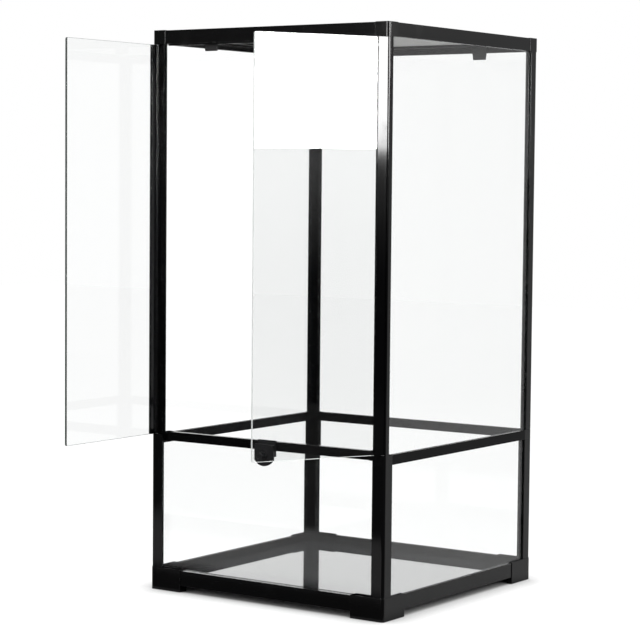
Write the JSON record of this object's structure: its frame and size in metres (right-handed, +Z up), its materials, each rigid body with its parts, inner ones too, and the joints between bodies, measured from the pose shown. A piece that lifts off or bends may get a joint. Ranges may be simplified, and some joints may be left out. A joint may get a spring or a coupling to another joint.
{
  "type": "terrarium cabinet",
  "caption": "Tall glass terrarium cabinet in a glossy black frame, with hinged glass front doors above a fixed lower pane, a keyed front lock, raised feet and a lift-off screen lid.",
  "frame": {"origin": "on the ground, under the middle of the cabinet's square body", "axes": "+Z up; +X to the right as seen from the front; +Y to the back, so the doors open towards -Y"},
  "size_m": [0.45, 0.6638, 0.9],
  "materials": {
    "frame_black": "glossy extruded plastic",
    "corner_black": "glossy moulded plastic",
    "strip_black": "glossy extruded plastic",
    "latch_black": "satin moulded plastic",
    "lid_black": "satin moulded plastic",
    "screen_steel": "dull stainless wire",
    "glass": "clear float glass, greenish at the edges",
    "floor_panel": "dark glossy glass",
    "lock_black": "satin black",
    "plug_black": "satin black",
    "bolt_steel": "brushed",
    "pin_steel": "turned",
    "bush_grey": "plain bearing plastic"
  },
  "bodies": {
    "cabinet": {"foot_front_left": "corner_black", "foot_front_right": "corner_black", "foot_back_left": "corner_black", "foot_back_right": "corner_black", "base_rail_front": "frame_black", "base_rail_back": "frame_black", "base_rail_left": "frame_black", "base_rail_right": "frame_black", "floor_panel": "floor_panel", "lower_post_front_left": "frame_black", "lower_post_front_right": "frame_black", "lower_post_back_left": "frame_black", "lower_post_back_right": "frame_black", "lower_pane_front": "glass", "lower_pane_back": "glass", "lower_pane_left": "glass", "lower_pane_right": "glass", "mid_joint_front_left": "corner_black", "mid_joint_front_right": "corner_black", "mid_joint_back_left": "corner_black", "mid_joint_back_right": "corner_black", "mid_rail_front": "frame_black", "mid_rail_back": "frame_black", "mid_rail_left": "frame_black", "mid_rail_right": "frame_black", "upper_post_front_left": "frame_black", "upper_post_front_right": "frame_black", "upper_post_back_left": "frame_black", "upper_post_back_right": "frame_black", "upper_pane_back": "glass", "upper_pane_left": "glass", "upper_pane_right": "glass", "top_rail_front": "frame_black", "top_rail_back": "frame_black", "top_rail_left": "frame_black", "top_rail_right": "frame_black", "top_corner_front_left": "corner_black", "top_corner_front_right": "corner_black", "top_corner_back_left": "corner_black", "top_corner_back_right": "corner_black", "hinge_bushes": "bush_grey", "lock_housing": "lock_black"},
    "left_door": {"left_door_glass": "glass", "left_hinge_strip": "strip_black", "left_hinge_pins": "pin_steel"},
    "right_door": {"right_door_glass": "glass", "right_hinge_strip": "strip_black", "right_hinge_pins": "pin_steel"},
    "lock_plug": {"lock_plug": "plug_black"},
    "lock_bolt": {"lock_bolt": "bolt_steel"},
    "lid": {"lid_frame": "lid_black", "lid_screen": "screen_steel"},
    "latch_front_left": {"latch_front_left": "latch_black"},
    "latch_front_right": {"latch_front_right": "latch_black"},
    "latch_back_left": {"latch_back_left": "latch_black"},
    "latch_back_right": {"latch_back_right": "latch_black"}
  },
  "joints": [
    {"name": "left_door_swing", "type": "hinge", "parent": "cabinet", "child": "left_door", "pos_m": [-0.2191, -0.22075, 0.56525], "axis": [0, 0, -1], "range_deg": [-90, 6]},
    {"name": "right_door_swing", "type": "hinge", "parent": "cabinet", "child": "right_door", "pos_m": [0.2191, -0.22075, 0.56525], "axis": [0, 0, 1], "range_deg": [-62, 34]},
    {"name": "bolt_lift", "type": "slide", "parent": "cabinet", "child": "lock_bolt", "axis": [0, 0, 1], "range_m": [0, 0.006]},
    {"name": "lock_turn", "type": "hinge", "parent": "cabinet", "child": "lock_plug", "pos_m": [0, -0.2295, 0.2357], "axis": [0, -1, 0], "range_deg": [0, 90]},
    {"name": "lid_lift", "type": "slide", "parent": "cabinet", "child": "lid", "axis": [0, 0, 1], "range_m": [0, 0.15]},
    {"name": "latch_slide_front_left", "type": "slide", "parent": "lid", "child": "latch_front_left", "axis": [1, 0, 0], "range_m": [0, 0.012]},
    {"name": "latch_slide_front_right", "type": "slide", "parent": "lid", "child": "latch_front_right", "axis": [-1, 0, 0], "range_m": [0, 0.012]},
    {"name": "latch_slide_back_left", "type": "slide", "parent": "lid", "child": "latch_back_left", "axis": [1, 0, 0], "range_m": [0, 0.012]},
    {"name": "latch_slide_back_right", "type": "slide", "parent": "lid", "child": "latch_back_right", "axis": [-1, 0, 0], "range_m": [0, 0.012]}
  ],
  "couplings": [
    {"joint": "lock_turn", "follows": "bolt_lift", "rad_per_m": 261.79}
  ]
}
